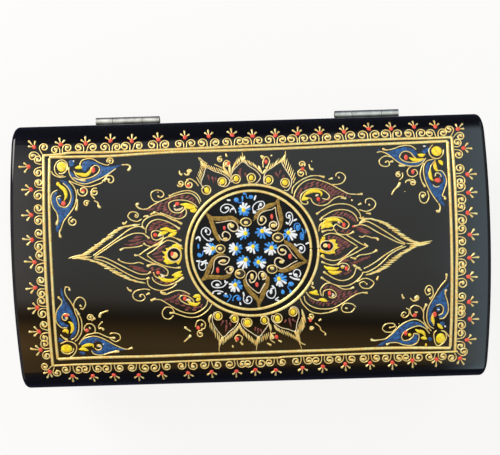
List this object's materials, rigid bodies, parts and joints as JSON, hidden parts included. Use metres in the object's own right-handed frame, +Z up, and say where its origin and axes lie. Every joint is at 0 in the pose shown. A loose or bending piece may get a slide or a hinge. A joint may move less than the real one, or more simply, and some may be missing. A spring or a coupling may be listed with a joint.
{
  "type": "papier mache box",
  "caption": "Rectangular lacquered papier mache box with a vaulted painted lid that swings open on steel butt hinges at the back.",
  "frame": {"origin": "centre of the underside, in the plane that the box rests on", "axes": "+X along the length, +Y from the front to the hinged back, +Z up"},
  "size_m": [0.178, 0.1051, 0.064],
  "materials": {
    "lacquer": "black lacquer over papier mache, high gloss, hand painted",
    "hinge_steel": "nickel plated sheet steel, satin",
    "screw_steel": "nickel plated, satin"
  },
  "bodies": {
    "base": {"base_walls": "lacquer", "floor_panel": "lacquer", "left_hinge_base_leaf": "hinge_steel", "left_hinge_pin": "hinge_steel", "left_base_screw_a": "screw_steel", "left_base_screw_b": "screw_steel", "right_hinge_base_leaf": "hinge_steel", "right_hinge_pin": "hinge_steel", "right_base_screw_a": "screw_steel", "right_base_screw_b": "screw_steel"},
    "lid": {"lid_shell": "lacquer", "left_hinge_lid_leaf": "hinge_steel", "left_lid_screw_a": "screw_steel", "left_lid_screw_b": "screw_steel", "right_hinge_lid_leaf": "hinge_steel", "right_lid_screw_a": "screw_steel", "right_lid_screw_b": "screw_steel"}
  },
  "joints": [
    {"name": "lid_hinge", "type": "hinge", "parent": "base", "child": "lid", "pos_m": [0, 0.05265, 0.041], "axis": [-1, 0, 0], "range_deg": [0, 200]}
  ]
}
